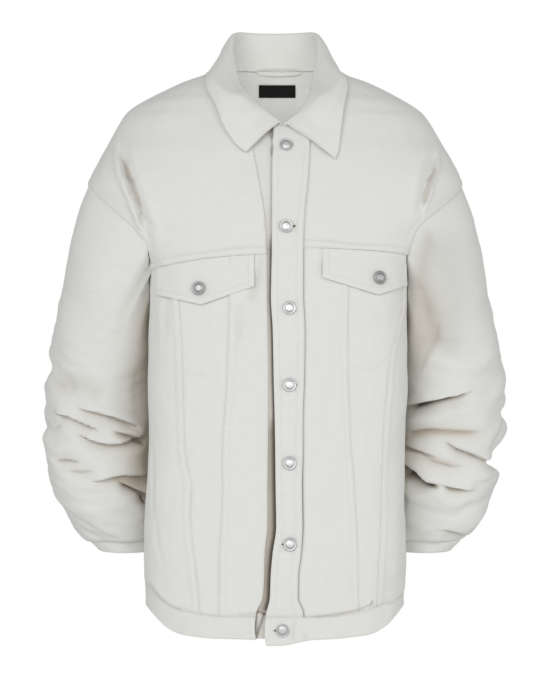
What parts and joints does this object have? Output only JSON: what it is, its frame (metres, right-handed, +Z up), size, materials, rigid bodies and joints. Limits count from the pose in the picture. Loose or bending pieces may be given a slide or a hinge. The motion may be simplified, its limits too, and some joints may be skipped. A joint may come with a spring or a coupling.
{
  "type": "denim jacket",
  "caption": "Hip-length buttoned denim jacket with a fold-down collar, flap chest pockets and long sleeves, held in its worn shape.",
  "frame": {"origin": "where the shoulders carry the jacket: on the middle plane, between the two neck points of the shoulder seams, at their level", "axes": "+Z up, -Y out of the front, +X towards the wearer's left; metres"},
  "size_m": [0.6335, 0.3013, 0.8122],
  "materials": {
    "denim": "matte slubbed twill, off-white with tan in its folds and edges",
    "metal_button": "satin silver with a dark ring",
    "label_cloth": "matt black woven tape"
  },
  "bodies": {
    "root": {"yoke_front_right": "denim", "yoke_front_left": "denim", "front_center_right": "denim", "front_center_left": "denim", "front_pocket_right": "denim", "front_pocket_left": "denim", "front_side_right": "denim", "front_side_left": "denim", "placket_right": "denim", "placket_left": "denim", "back_yoke": "denim", "back_panel": "denim", "hem_band_right": "denim", "hem_band_left": "denim", "hem_band_back": "denim", "sleeve_right_top": "denim", "sleeve_right_under": "denim", "sleeve_left_top": "denim", "sleeve_left_under": "denim", "cuff_right": "denim", "cuff_left": "denim", "collar": "denim", "pocket_flap_right": "denim", "pocket_flap_left": "denim", "front_button_1": "metal_button", "front_button_2": "metal_button", "front_button_3": "metal_button", "front_button_4": "metal_button", "front_button_5": "metal_button", "front_button_6": "metal_button", "front_button_7": "metal_button", "pocket_button_right": "metal_button", "pocket_button_left": "metal_button", "neck_label": "label_cloth", "hanger_loop": "denim"}
  },
  "joints": []
}
